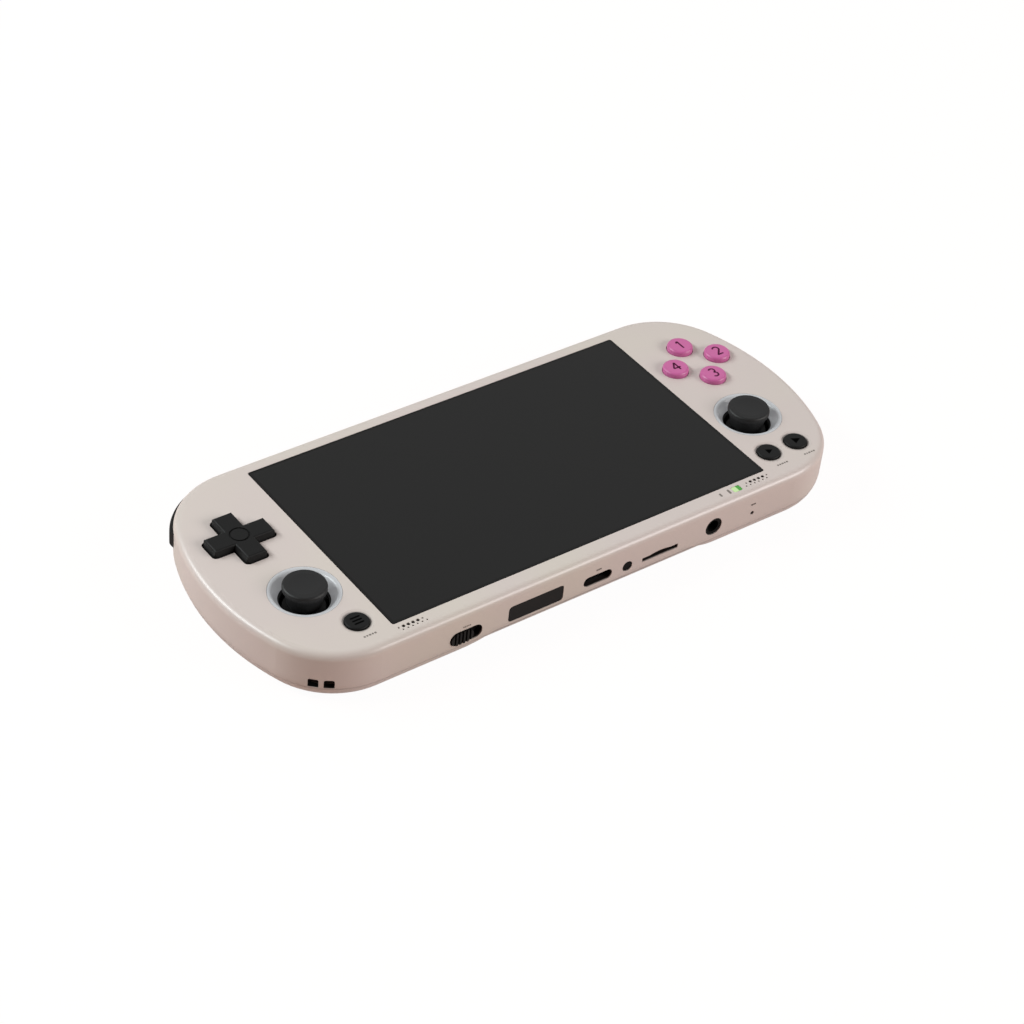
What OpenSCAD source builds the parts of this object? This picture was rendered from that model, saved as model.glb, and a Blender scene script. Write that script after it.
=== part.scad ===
// Handheld game console with a wide screen, two thumb sticks, a direction pad and shoulder buttons.
// X runs along the length, Y towards the shoulder edge, Z out of the screen; it lies on its back at z = 0.

/* [Body] */
// Overall length of the shells
body_l = 186.6; // [176:0.2:198]
// Width of the shells, from the port edge to the shoulder edge
body_w = 79; // [75:0.5:84]
// Thickness from the rest plane to the front face
body_t = 16.6; // [16:0.1:19]
// How much larger the plan radius of the bowed ends is than that of the corners
end_bow = 46.875; // [40:0.125:54]
// Wall thickness of both shells
wall = 1.8; // [1.6:0.05:2]
// Rounding of the edge round the front face
front_edge_r = 2.2; // [1:0.1:3]
// Rounding of the edge round the back
back_edge_r = 7; // [5:0.25:7.5]
// Height of the seam between the shells above the rest plane
seam_z = 5; // [4.5:0.1:5.2]
// How far the middle of the back is raised between the grips
grip_rise = 2; // [1:0.1:2.2]
// Distance from the centre to where the grips start to swell
grip_x = 60; // [54:1:61]
// Run over which each grip swells
grip_run = 30; // [20:1:40]

/* [Screen] */
// Width of the strip of controls between the glass and each end
side_w = 32.7; // [31:0.1:35]
// Width of the rim between the glass and the port edge
port_rim = 5.65; // [5.2:0.05:6.2]
// Width of the rim between the glass and the shoulder edge
shoulder_rim = 4.45; // [4.2:0.05:5]
// Thickness of the cover glass
glass_t = 1; // [0.7:0.1:1.1]
// Corner radius of the glass
glass_r = 0.7; // [0.4:0.1:2]
// Width of the ledge that carries the glass
glass_ledge = 3.2; // [2.5:0.1:5]
// Thickness of the display panel
panel_t = 2.6; // [2:0.1:2.8]

/* [Sticks] */
// Distance of both sticks from the middle of their strip, towards the glass
stick_in = 4.15; // [3.5:0.05:5]
// Distance of both sticks from the row of small buttons, along Y
stick_rise = 15.9; // [15:0.1:17]
// Radius of the thumb cap
stick_r = 5.85; // [5.4:0.05:6]
// Height of the cap above the front face
stick_proud = 2.6; // [2.4:0.1:4]
// Outer radius of the pale ring round a stick
ring_r = 9.5; // [9.4:0.05:9.8]
// Radius of the opening at the foot of the ring
ring_throat_r = 6.8; // [6.7:0.05:7.2]
// Largest tilt of a stick about each of its two axes
stick_tilt = 12.5; // [6:0.5:12.5]

/* [Direction pad] */
// Distance of the pad from the middle of its strip, towards the glass
pad_in = 0.45; // [0:0.05:1.5]
// Distance of the pad from the stick below it, along Y
pad_rise = 25.3; // [24:0.1:26]
// Length of the cross from tip to tip
pad_span = 18.2; // [16.5:0.1:18.6]
// Width of an arm of the cross
pad_arm = 6.3; // [5.5:0.1:6.8]
// Height of the cross above the front face
pad_proud = 1.9; // [1.6:0.1:2.6]
// Largest tilt of the pad about each axis
pad_tilt = 4.5; // [2:0.5:5]

/* [Buttons] */
// Distance of the face button group from the middle of its strip, towards the glass
face_in = 1.65; // [1:0.05:2]
// Distance of the face button group from the stick below it, along Y
face_rise = 26.1; // [25.6:0.1:27]
// Distance of each face button from the middle of its group
face_pitch = 7.57; // [7.5:0.01:7.8]
// Radius of a face button
face_r = 3.73; // [3.4:0.01:3.8]
// Height of the face buttons above the front face
face_proud = 1.55; // [1.4:0.05:2.2]
// Travel of a face button
face_travel = 1.2; // [0.8:0.1:1.3]
// Radius of the three small round buttons
small_r = 3.25; // [2.8:0.05:3.4]
// Height of the small buttons above the front face
small_proud = 0.3; // [0.1:0.05:0.8]
// Distance of the menu button from the middle of its strip, towards the glass
menu_in = 9.45; // [8:0.05:10]
// Distance of the select button from the middle of its strip, towards the glass
select_in = 9.95; // [9.5:0.05:10.5]
// Distance of the start button from the middle of its strip, towards the glass
start_in = 0.25; // [-1:0.05:0.6]
// Distance of the row of small buttons from the port edge
small_inset = 11.3; // [10.8:0.1:12]

/* [Shoulders] */
// How far the shoulder buttons stand out of the wall
shoulder_proud = 1; // [0.6:0.1:1.4]
// Height of a front shoulder button, along Z
shoulder_h = 4.65; // [4:0.05:4.7]
// Distance of the hinge pins from the ends of the shells, along X
pin_end = 43.8; // [42:0.1:46]
// Depth of the hinge pins below the shoulder edge
pin_inset = 5; // [4.9:0.1:5.4]
// Radius of a hinge pin
pin_r = 0.75; // [0.6:0.05:0.9]
// Length of a front shoulder button from its hinge pin to its tip
shoulder_reach = 39.6; // [37.5:0.1:42]
// Length of a trigger from its hinge pin to its tip
trigger_reach = 36.6; // [34:0.1:38]

/* [Edge controls] */
// Length of a power or volume button
key_l = 7.5; // [6:0.1:8.5]
// Height of a power or volume button, along Z
key_h = 2.4; // [2:0.1:3]
// How far the power and volume buttons stand out of the shoulder edge
key_proud = 0.7; // [0.5:0.05:0.9]
// Place of the power button along X
power_x = -30; // [-33:0.5:-15]
// Place of the volume down button along X
volume_x = 20; // [12:0.5:21]
// Distance between the two volume buttons
volume_pitch = 10.5; // [10.2:0.1:12]
// Place of the slide switch along X
switch_x = -41.5; // [-43:0.1:-41]
// Length of the slot of the slide switch
switch_slot_l = 10; // [9.4:0.1:11]
// Height of the slot of the slide switch
switch_slot_h = 4.4; // [3.6:0.1:4.6]
// Travel of the slide switch knob
switch_travel = 2.6; // [2:0.1:3]
// How far the switch knob stands out of the port edge
switch_proud = 0.4; // [0.1:0.1:0.5]

/* [Ports] */
// Place of the USB-C socket along X
usb_x = 0.4; // [-1:0.1:1]
// Length of the USB-C opening in the wall
usb_l = 9.3; // [9:0.1:9.8]
// Height of the USB-C opening in the wall
usb_h = 3.2; // [3:0.1:3.4]
// Distance of the headphone jack past the middle between the card slot and the status light
jack_past = 4.3; // [2:0.1:5]
// Radius of the headphone jack bore
jack_r = 1.8; // [1.7:0.05:1.9]
// Radius of the round opening for the jack's nose
jack_hole_r = 2.75; // [2.6:0.05:3]
// Place of the card slot along X
card_x = 21.2; // [20.5:0.1:23]
// Length of the card slot
card_l = 12; // [11.6:0.1:12.6]
// Height of the card slot
card_h = 1.4; // [1.2:0.1:1.6]
// Place of the cover plate along X
cover_x = -19.6; // [-21:0.1:-19]
// Length of the cover plate
cover_l = 17.3; // [15:0.1:18]
// Height of the cover plate, along Z
cover_h = 5; // [4:0.1:5.4]
// Place of the round sensor window along X
window_x = 10.2; // [9.8:0.1:10.6]
// Radius of the round sensor window
window_r = 1.5; // [1.2:0.05:1.7]
// Distance of the status light from the end of the glass
light_in = 11.6; // [11.4:0.1:14]

/* [Inside] */
// Thickness of all circuit boards
board_t = 1; // [0.8:0.1:1.2]
// Height of the boards' upper face above the rest plane
board_z = 7.3; // [7.2:0.05:7.5]
// Distance of the battery from each end of the glass, along X
battery_end = 10.6; // [9:0.2:20]
// Gap between the battery and the strip behind the edge buttons
battery_gap = 5.5; // [4:0.5:12]
// Thickness of the battery
battery_t = 5; // [3.5:0.1:6]
// Radius of the case screws' shanks
screw_r = 0.8; // [0.7:0.05:0.9]

/* [Clearances] */
// Gap between a button and its hole
button_gap = 0.15; // [0.1:0.01:0.25]
// Gap round the direction pad
pad_gap = 0.5; // [0.45:0.05:0.6]
// Gap round the shoulder buttons
shoulder_gap = 0.35; // [0.3:0.05:0.45]
// Gap round fixed pieces that are let into the shells
seat_gap = 0.1; // [0.05:0.01:0.15]
// Running clearance of hinge pins in their bores
pin_gap = 0.05; // [0.02:0.01:0.08]
// Shadow gap between the two shells along the seam
seam_gap = 0.12; // [0.05:0.01:0.2]

/* [Hidden] */
$fn = 64;

// Cutters overrun the faces they cut by this much
over = 1;
// Bosses and posts start this deep inside the wall they grow out of
weld = 0.1;
// Colours of the finishes
sand = [0.80, 0.76, 0.71];
ink = [0.13, 0.13, 0.13];
pink = [0.78, 0.32, 0.60];
pale = [0.84, 0.85, 0.86];
rubber_grey = [0.55, 0.55, 0.56];
board_green = [0.10, 0.30, 0.22];
steel = [0.72, 0.72, 0.74];

// Plan outline: straight long edges, a corner arc and a bowed end arc, all tangent
half_l = body_l / 2;
half_w = body_w / 2;
// Direction from an end arc's centre to a corner arc's centre, from a right triangle of sides 117, 44 and 125
arc_run = 0.936;
arc_rise = 0.352;
arc_unit = 125;
corner_y = arc_rise * end_bow;
corner_r = half_w - corner_y;
end_r = corner_r + end_bow;
end_x = half_l - end_r;
corner_x = end_x + arc_run * end_bow;
// The glass fills what the rims and the strips of controls leave
glass_l = body_l - 2 * side_w;
glass_w = body_w - port_rim - shoulder_rim;
glass_y = (port_rim - shoulder_rim) / 2;
// The controls: along X from the middle of their strip, along Y stacked up from the port edge
strip_x = half_l - side_w / 2;
small_y = -half_w + small_inset;
menu_x = -strip_x + menu_in;
select_x = strip_x - select_in;
start_x = strip_x - start_in;
stick_x = strip_x - stick_in;
stick_y = small_y + stick_rise;
pad_x = -strip_x + pad_in;
pad_y = stick_y + pad_rise;
face_x = strip_x - face_in;
face_y = stick_y + face_rise;
// The shoulder buttons stand further out than the switch knob on the other edge, so the shells sit off centre
shift_y = (switch_proud - shoulder_proud) / 2;

// Heights
face_z = body_t;
plate_z = face_z - wall;
floor_z = wall;
mid_floor_z = grip_rise + wall;
glass_z = face_z - glass_t;
panel_z = glass_z - panel_t;
shield_t = 0.5;
shield_z = panel_z - shield_t;
board_low = board_z - board_t;

// Shared button sizes: a flange under the front plate and a rubber dome on the board
flange_t = 0.95;
flange_lip = 0.95;
sheet_t = 1;
sheet_margin = 0.4;
dome_skin = 0.8;
dome_top = board_z + sheet_t + face_travel + 1.1;
dome_gap = 0.05;

// Stick sizes, tied to the pivot under the cap
cap_edge_r = 0.7;
cap_t = 2;
pivot_h = board_z + 3.55;
gimbal_r = 5.6;
gimbal_bore_r = 3.6;
gimbal_h = 2.4;
journal_r = 0.8;
cross_pin_r = 0.6;
stem_r = gimbal_bore_r - gimbal_h * sin(stick_tilt) / 2 - 0.34;
housing_side = 15.6;
housing_wall = 0.9;
housing_top = pivot_h + 2.35;
ring_depth = 2.4;
ring_round = 1.2;
ring_foot = 0.3;
ring_flange = 1.1;

// Direction pad sizes, tied to the pivot ball
pad_flange_r = pad_span / 2 + 1.1;
pad_rock = pad_flange_r * sin(pad_tilt * sqrt(2)) + 0.2;
pad_flange_z = plate_z - pad_rock - flange_t;
ball_r = 2.2;
ball_gap = 0.15;
ball_z = pad_flange_z - 0.1;
post_r = 2.6;
post_top = ball_z - 0.9;
pad_peg_r = 2;
pad_peg_x = pad_span / 2 - 2.2;

// Shoulder and trigger heights, front one first
shoulder_top = face_z - front_edge_r - 0.4;
shoulder_z = shoulder_top - shoulder_h;
trigger_top = shoulder_z - 0.4;
trigger_z = seam_z + shoulder_gap;
shoulder_in = wall + 0.4;
knuckle_r = 2.3;
pin_x = half_l - pin_end;
pin_y = half_w - pin_inset;

// Case screws: two by the glass, two at the port edge and two at the bowed ends
screw_head_r = 1.8;
screw_head_t = 1.2;
screw_seat = 3.4;
boss_r = 2.1;
screw_top = plate_z - 1.2;
end_screw_y = 1;
screw_spots = [
    [glass_l / 2 + boss_r + 0.8, glass_y + glass_w / 2 - 5.05],
    [glass_l / 2 + boss_r + 1.3, -half_w + back_edge_r - wall + 0.1],
    [half_l - back_edge_r, end_screw_y]
];

// Boards: the main one along the port edge, one at each end, all on posts
main_board_l = glass_l - 3.2;
main_board_w = 28;
main_board_y = -half_w + wall + 0.7;
main_board_back = main_board_y + main_board_w;
main_posts = [
    [main_board_l / 2 - 7, main_board_back - 4], [20, main_board_back - 4],
    [main_board_l / 2 - 13, main_board_y + 3], [10, main_board_y + 3]
];
end_posts = [
    [strip_x - 8.95, stick_y + 13.3], [strip_x + 5.55, stick_y - 9.7], [strip_x - 4.95, pad_y + 13]
];
motor_spot = [strip_x + 1.05, stick_y + 4.3];
// Packages on the main board: place along X and Y, length, width and height
chips = [[-28, 11, 14, 14, 1.2], [-8, 12, 9, 12, 1], [32, 16, 8, 8, 1.4]];

// Power and volume buttons: the flange behind the wall and the inner tip
key_travel = 0.4;
key_flange_t = 0.5;
key_tip_depth = 1.9;
key_tip_y = half_w - wall - key_tip_depth;
key_strip_depth = 4;
key_strip_y = half_w - wall - key_strip_depth;
key_strip_end = 1.5;
key_switch_l = 3;
key_switch_h = 2.4;
key_switch_gap = 0.1;

// Battery between the main board and the strip behind the edge buttons
battery_l = glass_l - 2 * battery_end;
battery_y = main_board_back + 1.2;
battery_w = key_strip_y - battery_gap - battery_y;

// Status light window
light_x = glass_l / 2 - light_in;
light_l = 2.7;
light_w = 2;
light_r = 0.4;

// Port heights follow the board that carries the sockets
usb_z = board_z + usb_h / 2;
jack_x = (card_x + light_x) / 2 + jack_past;
jack_body_h = 5;
jack_z = board_z + jack_body_h / 2;
card_z = board_z + 1.2;
switch_z = board_z + 1.1;
cover_z = board_z + 1.8;
window_z = board_z + 1.4;
mic_x = glass_l / 2 - 7.6;
mic_r = 0.6;
mic_z = board_z + 1.6;
key_z = board_z + 2.7;

// Speaker holes: an upper row with small end holes and a staggered lower row of small ones
speaker_x = glass_l / 2 - 4.2;
speaker_pitch = 1.43;
speaker_holes = 6;
speaker_row_y = glass_y - glass_w / 2 - 1.75;
speaker_row_gap = 1.05;
speaker_hole_r = 0.5;
speaker_small_r = 0.27;
speaker_box = [9.6, 5.6, 3.4];

// Lanyard holes through the lower left corner, either side of a bar of wall
lanyard_angles = [-133.8, -123.7];
lanyard_w = 2.75;
lanyard_round = 0.6;
lanyard_z = seam_z + 1.9;

// One half of a cross section through the shells, from its axis out to the wall
module rim_section(w, z0, z1, top_r, low_r) {
    difference() {
        translate([0, z0])
            square([w, z1 - z0]);
        if (top_r > 0)
            translate([w - top_r, z1 - top_r])
                difference() {
                    square(top_r + over);
                    circle(top_r);
                }
        if (low_r > 0)
            translate([w - low_r, z0 + low_r])
                difference() {
                    translate([0, -low_r - over])
                        square(low_r + over);
                    circle(low_r);
                }
    }
}

// Sectors of the plan in which the end arc and the corner arc run, seen from their centres; the end's reaches
// out by whole triangle sides, so that its edges run through the corner centres exactly
module end_sector(z0, z1) {
    reach = arc_unit * ceil(2 * end_r / arc_unit);
    tower(z0, z1)
        polygon([[0, 0], [reach * arc_run, -reach * arc_rise], [reach * arc_run, reach * arc_rise]]);
}

module corner_sector(z0, z1) {
    reach = 2 * corner_r;
    tower(z0, z1)
        polygon([[0, 0], [reach * arc_run, reach * arc_rise], [reach * arc_run, reach], [0, reach]]);
}

// A slab with the plan outline drawn in by an inset, its two rims rounded
module slab(inset, z0, z1, top_r = 0, low_r = 0) {
    translate([-corner_x, 0, 0])
        rotate([90, 0, 90])
            linear_extrude(2 * corner_x) {
                rim_section(half_w - inset, z0, z1, top_r, low_r);
                mirror([1, 0])
                    rim_section(half_w - inset, z0, z1, top_r, low_r);
            }
    for (side = [0, 1])
        mirror([side, 0, 0]) {
            translate([end_x, 0, 0])
                intersection() {
                    rotate_extrude()
                        rim_section(end_r - inset, z0, z1, top_r, low_r);
                    end_sector(z0 - over, z1 + over);
                }
            for (edge = [0, 1])
                mirror([0, edge, 0])
                    translate([corner_x, corner_y, 0])
                        intersection() {
                            rotate_extrude()
                                rim_section(corner_r - inset, z0, z1, top_r, low_r);
                            corner_sector(z0 - over, z1 + over);
                        }
        }
}

// What is taken off the back between the grips: below two long arcs, outside the shallower middle section
module grip_relief() {
    relief_top = back_edge_r;
    arc_r = (pow(grip_run, 2) + pow(relief_top, 2)) / (2 * relief_top);
    difference() {
        translate([0, half_w + over, 0])
            rotate([90, 0, 0])
                linear_extrude(body_w + 2 * over)
                    difference() {
                        translate([-grip_x, -over])
                            square([2 * grip_x, relief_top + over]);
                        for (side = [-1, 1])
                            translate([side * grip_x, arc_r])
                                circle(arc_r, $fn = 256);
                    }
        translate([-half_l, 0, 0])
            rotate([90, 0, 90])
                linear_extrude(body_l) {
                    rim_section(half_w, grip_rise, back_edge_r + over, 0, back_edge_r - grip_rise);
                    mirror([1, 0])
                        rim_section(half_w, grip_rise, back_edge_r + over, 0, back_edge_r - grip_rise);
                }
    }
}

// Outside of the closed case
module case_solid() {
    difference() {
        slab(0, 0, face_z, front_edge_r, back_edge_r);
        grip_relief();
    }
}

// Room inside the closed case, shallower between the grips
module case_room() {
    difference() {
        slab(wall, floor_z, plate_z, 0, back_edge_r - wall);
        translate([-grip_x - wall, -half_w, 0])
            cube([2 * (grip_x + wall), body_w, mid_floor_z]);
    }
}

// A block above the seam, or below the shadow gap on it
module seam_block(above) {
    translate([-half_l - over, -half_w - over, above ? seam_z : -over])
        cube([body_l + 2 * over, body_w + 2 * over, above ? body_t : seam_z + seam_gap + over]);
}

// Flat outlines used by the openings
module pill(l, h) {
    square([l - h, h], center = true);
    for (side = [-1, 1])
        translate([side * (l - h) / 2, 0])
            circle(h / 2);
}

module round_rect(l, h, r) {
    square([l, h - 2 * r], center = true);
    square([l - 2 * r, h], center = true);
    for (x = [-1, 1], y = [-1, 1])
        translate([x * (l / 2 - r), y * (h / 2 - r)])
            circle(r);
}

// Carries a flat outline through the port wall or the shoulder wall, from one depth below its face to another
module port_wall(x, z, from, to) {
    translate([x, -half_w + to, z])
        rotate([90, 0, 0])
            linear_extrude(to - from)
                children();
}

module key_wall(x, z, from, to) {
    translate([x, half_w - from, z])
        rotate([90, 0, 0])
            linear_extrude(to - from)
                children();
}

// Carries a flat outline along Z
module tower(z0, z1) {
    translate([0, 0, z0])
        linear_extrude(z1 - z0)
            children();
}

// Places shared by holes and pieces
module both_ends() {
    for (side = [0, 1])
        mirror([side, 0, 0])
            children();
}

module at_screws() {
    both_ends()
        for (spot = screw_spots)
            translate([spot[0], spot[1], 0])
                children();
}

module at_face_button(i) {
    translate([face_x + face_pitch * sin(90 * i), face_y + face_pitch * cos(90 * i), 0])
        children();
}

module place() {
    translate([0, shift_y, 0])
        children();
}

// Band that follows the outline from the hinge pin round the corner, between two depths and two heights
module shoulder_band(out, in, z0, z1, round_r, reach, slack) {
    intersection() {
        difference() {
            slab(-out, z0, z1, round_r, round_r);
            slab(in, z0 - over, z1 + over);
        }
        translate([pin_x, pin_y, z0 - over])
            cylinder(r = reach + slack, h = z1 - z0 + 2 * over, $fn = 128);
        translate([pin_x - knuckle_r - slack, 0, z0 - over])
            cube([half_l, body_w, z1 - z0 + 2 * over]);
    }
}

// Openings of the front face
module face_openings() {
    translate([0, glass_y, glass_z])
        linear_extrude(glass_t + over)
            round_rect(glass_l + 2 * seat_gap, glass_w + 2 * seat_gap, glass_r);
    translate([-glass_l / 2 + glass_ledge, glass_y - glass_w / 2 + glass_ledge, shield_z])
        cube([glass_l - 2 * glass_ledge, glass_w - 2 * glass_ledge, panel_t + shield_t + over]);
    both_ends()
        translate([stick_x, stick_y, plate_z - over])
            cylinder(r = ring_r + seat_gap, h = wall + 2 * over);
    translate([pad_x, pad_y, plate_z - over])
        linear_extrude(wall + 2 * over)
            cross_outline(pad_gap);
    for (i = [0 : 3])
        at_face_button(i)
            translate([0, 0, plate_z - over])
                cylinder(r = face_r + button_gap, h = wall + 2 * over);
    for (x = [menu_x, select_x, start_x])
        translate([x, small_y, 0])
            small_button_hole();
    both_ends()
        speaker_openings();
    translate([light_x, speaker_row_y - speaker_row_gap / 2, plate_z - over])
        linear_extrude(wall + 2 * over)
            round_rect(light_l + 2 * seat_gap, light_w + 2 * seat_gap, light_r + seat_gap);
}

module small_button_hole() {
    dish = 0.35;
    translate([0, 0, plate_z - over])
        cylinder(r = small_r + button_gap, h = wall + 2 * over);
    translate([0, 0, face_z - dish])
        cylinder(r1 = small_r + button_gap, r2 = small_r + button_gap + 3 * dish, h = dish + 0.01);
}

module speaker_openings() {
    for (i = [0 : speaker_holes - 1]) {
        along = speaker_x + (i - (speaker_holes - 1) / 2) * speaker_pitch;
        at_end = i == 0 || i == speaker_holes - 1;
        translate([along, speaker_row_y, plate_z - over])
            cylinder(r = at_end ? speaker_small_r : speaker_hole_r, h = wall + 2 * over, $fn = 24);
        translate([along - speaker_pitch / 2, speaker_row_y - speaker_row_gap, plate_z - over])
            cylinder(r = speaker_small_r, h = wall + 2 * over, $fn = 24);
    }
}

// Openings of the port wall, the shoulder wall and the corners
module wall_openings() {
    port_wall(usb_x, usb_z, -over, wall + over)
        pill(usb_l, usb_h);
    port_wall(jack_x, jack_z, -over, wall + over)
        circle(jack_hole_r);
    port_wall(card_x, card_z, -over, wall + over)
        square([card_l, card_h], center = true);
    card_scoop();
    port_wall(switch_x, switch_z, -over, wall + over)
        pill(switch_slot_l, switch_slot_h);
    port_wall(cover_x, cover_z, -over, wall + over)
        round_rect(cover_l + 2 * seat_gap, cover_h + 2 * seat_gap, 1 + seat_gap);
    port_wall(window_x, window_z, -over, wall + over)
        circle(window_r + seat_gap);
    port_wall(mic_x, mic_z, -over, wall + over)
        circle(mic_r, $fn = 24);
    for (x = [power_x, volume_x, volume_x + volume_pitch])
        key_wall(x, key_z, -over, wall + over)
            pill(key_l + 2 * button_gap, key_h + 2 * button_gap);
    both_ends() {
        shoulder_band(shoulder_proud + over, wall + over, shoulder_z - shoulder_gap,
            shoulder_top + shoulder_gap, 0, shoulder_reach, shoulder_gap);
        shoulder_band(shoulder_proud + over, wall + over, seam_z - over, trigger_top + shoulder_gap, 0,
            trigger_reach, shoulder_gap);
    }
    for (angle = lanyard_angles)
        translate([-corner_x, -corner_y, lanyard_z])
            rotate([90, 0, 90 + angle])
                translate([0, 0, corner_r - wall - over])
                    linear_extrude(wall + 2 * over)
                        lanyard_outline();
}

// Flat at the bottom, with rounded upper corners
module lanyard_outline() {
    round_rect(lanyard_w, lanyard_w, lanyard_round);
    translate([-lanyard_w / 2, -lanyard_w / 2])
        square([lanyard_w, lanyard_w / 2]);
}

// Nail notch above the card slot: a low arch where a large ball dips into the wall
module card_scoop() {
    arch_l = 7;
    arch_rise = 0.55;
    ball_depth = 3;
    arch_r = (pow(arch_l / 2, 2) + pow(arch_rise, 2)) / (2 * arch_rise);
    scoop_r = (pow(arch_r, 2) + pow(ball_depth, 2)) / (2 * ball_depth);
    intersection() {
        translate([card_x, -half_w - scoop_r + ball_depth, card_z + card_h / 2 + arch_rise - arch_r])
            sphere(scoop_r, $fn = 128);
        translate([card_x - card_l / 2, -half_w - over, card_z])
            cube([card_l, wall + over, card_h / 2 + arch_rise + over]);
    }
}

module front_shell() {
    color(sand)
        place()
            difference() {
                union() {
                    difference() {
                        case_solid();
                        slab(wall, seam_z - over, plate_z);
                        seam_block(false);
                    }
                    at_screws()
                        translate([0, 0, seam_z])
                            cylinder(r = boss_r, h = plate_z - seam_z + weld);
                    both_ends()
                        translate([pin_x, pin_y, shoulder_top + shoulder_gap])
                            cylinder(r = knuckle_r, h = plate_z + wall / 4 - shoulder_top - shoulder_gap);
                }
                face_openings();
                wall_openings();
                at_screws()
                    translate([0, 0, seam_z - over])
                        cylinder(r = screw_r + 0.02, h = screw_top - seam_z + over + 0.3);
                both_ends()
                    translate([pin_x, pin_y, shoulder_top])
                        cylinder(r = pin_r + 0.02, h = plate_z + 0.35 - shoulder_top);
            }
}

// Lip of the rear shell that centres the front shell, left out round the shoulder buttons
module rear_lip() {
    lip_t = 0.9;
    lip_h = 0.7;
    difference() {
        slab(wall + seat_gap, seam_z - wall / 2, seam_z + lip_h);
        slab(wall + seat_gap + lip_t, seam_z - wall, seam_z + lip_h + over);
        both_ends()
            translate([pin_x - knuckle_r - 2, corner_y, seam_z - wall])
                cube([half_l, half_w, wall + lip_h + over]);
        translate([-corner_x, -corner_y, 0])
            rotate([0, 0, (lanyard_angles[0] + lanyard_angles[1]) / 2])
                translate([corner_r - 3 * wall, -2 * lanyard_w - wall, seam_z])
                    cube([3 * wall, 4 * lanyard_w + 2 * wall, lip_h + over]);
    }
}

// Posts that carry the boards
module board_posts() {
    both_ends() {
        for (spot = main_posts)
            translate([spot[0], spot[1], mid_floor_z - wall / 2])
                cylinder(r = wall, h = board_low - mid_floor_z + wall / 2);
        for (spot = end_posts)
            translate([spot[0], spot[1], floor_z / 2])
                cylinder(r = wall, h = board_low - floor_z / 2);
    }
}

module rear_shell() {
    color(sand)
        place()
            difference() {
                union() {
                    difference() {
                        case_solid();
                        case_room();
                        seam_block(true);
                    }
                    rear_lip();
                    board_posts();
                    at_screws()
                        translate([0, 0, floor_z - weld])
                            cylinder(r = screw_head_r + 0.7, h = seam_z - floor_z + weld);
                    both_ends()
                        translate([pin_x, pin_y, mid_floor_z - wall / 2])
                            cylinder(r = knuckle_r, h = seam_z + 0.05 - mid_floor_z + wall / 2);
                }
                at_screws() {
                    translate([0, 0, -over])
                        cylinder(r = screw_head_r + 0.2, h = screw_seat + over);
                    cylinder(r = screw_r + 0.2, h = seam_z + over);
                }
                both_ends()
                    translate([pin_x, pin_y, seam_z - 2])
                        cylinder(r = pin_r + 0.02, h = 2 + over);
            }
}

module screen_glass() {
    color([0.06, 0.06, 0.06])
        place()
            translate([0, glass_y, 0])
                tower(glass_z, face_z)
                    round_rect(glass_l, glass_w, glass_r);
}

module display_panel() {
    color([0.16, 0.16, 0.17])
        place()
            translate([0, glass_y, 0])
                tower(panel_z, glass_z)
                    square([glass_l - 2 * glass_ledge - 0.6, glass_w - 2 * glass_ledge - 0.6], center = true);
}

module shield_plate() {
    fold = 0.8;
    l = glass_l - 2 * glass_ledge - 0.6;
    w = glass_w - 2 * glass_ledge - 0.6;
    color(steel)
        place()
            translate([0, glass_y, 0])
                difference() {
                    tower(shield_z, panel_z)
                        square([l, w], center = true);
                    for (x = [-1, 1], y = [-1, 1])
                        translate([x * l / 2, y * w / 2, shield_z - over])
                            cylinder(r = 4 * fold, h = shield_t + 2 * over);
                    tower(shield_z - over, panel_z + over)
                        round_rect(l / 3, w / 3, 4 * fold);
                }
}

// Main board with the processor, its memory and the connectors' solder lands
module main_board() {
    color(board_green)
        place()
            translate([0, main_board_y, 0]) {
                difference() {
                    translate([-main_board_l / 2, 0, board_low])
                        cube([main_board_l, main_board_w, board_t]);
                    for (side = [-1, 1])
                        translate([side * main_board_l / 2, 0, board_low - over])
                            cylinder(r = 4, h = board_t + 2 * over);
                }
                for (chip = chips)
                    translate([chip[0], chip[1], board_z])
                        cube([chip[2], chip[3], chip[4]]);
            }
}

module battery() {
    fold = 1.2;
    color([0.62, 0.64, 0.66])
        place()
            translate([0, battery_y + battery_w / 2, 0]) {
                tower(mid_floor_z, mid_floor_z + battery_t)
                    round_rect(battery_l, battery_w, fold);
                translate([-battery_l / 2 - 2, -battery_w / 2 + fold, mid_floor_z + battery_t / 3])
                    cube([2.5, battery_w - 2 * fold, battery_t / 3]);
            }
}

// Board at one end of the case, cut clear of the screw bosses
module end_board() {
    inset = wall + 2.4;
    inner_x = glass_l / 2 + 2;
    difference() {
        intersection() {
            slab(inset, board_low, board_z);
            translate([inner_x, -half_w, board_low - over])
                cube([half_l, body_w, board_t + 2 * over]);
        }
        for (spot = screw_spots)
            translate([spot[0], spot[1], board_low - over])
                cylinder(r = boss_r + 0.5, h = board_t + 2 * over);
    }
}

module control_board_left() {
    color(board_green)
        place() {
            mirror([1, 0, 0])
                end_board();
            translate([pad_x, pad_y, 0])
                difference() {
                    translate([0, 0, board_z])
                        cylinder(r = post_r, h = post_top - board_z);
                    translate([0, 0, ball_z])
                        sphere(ball_r + ball_gap);
                }
        }
}

module control_board_right() {
    color(board_green)
        place()
            end_board();
}

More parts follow.
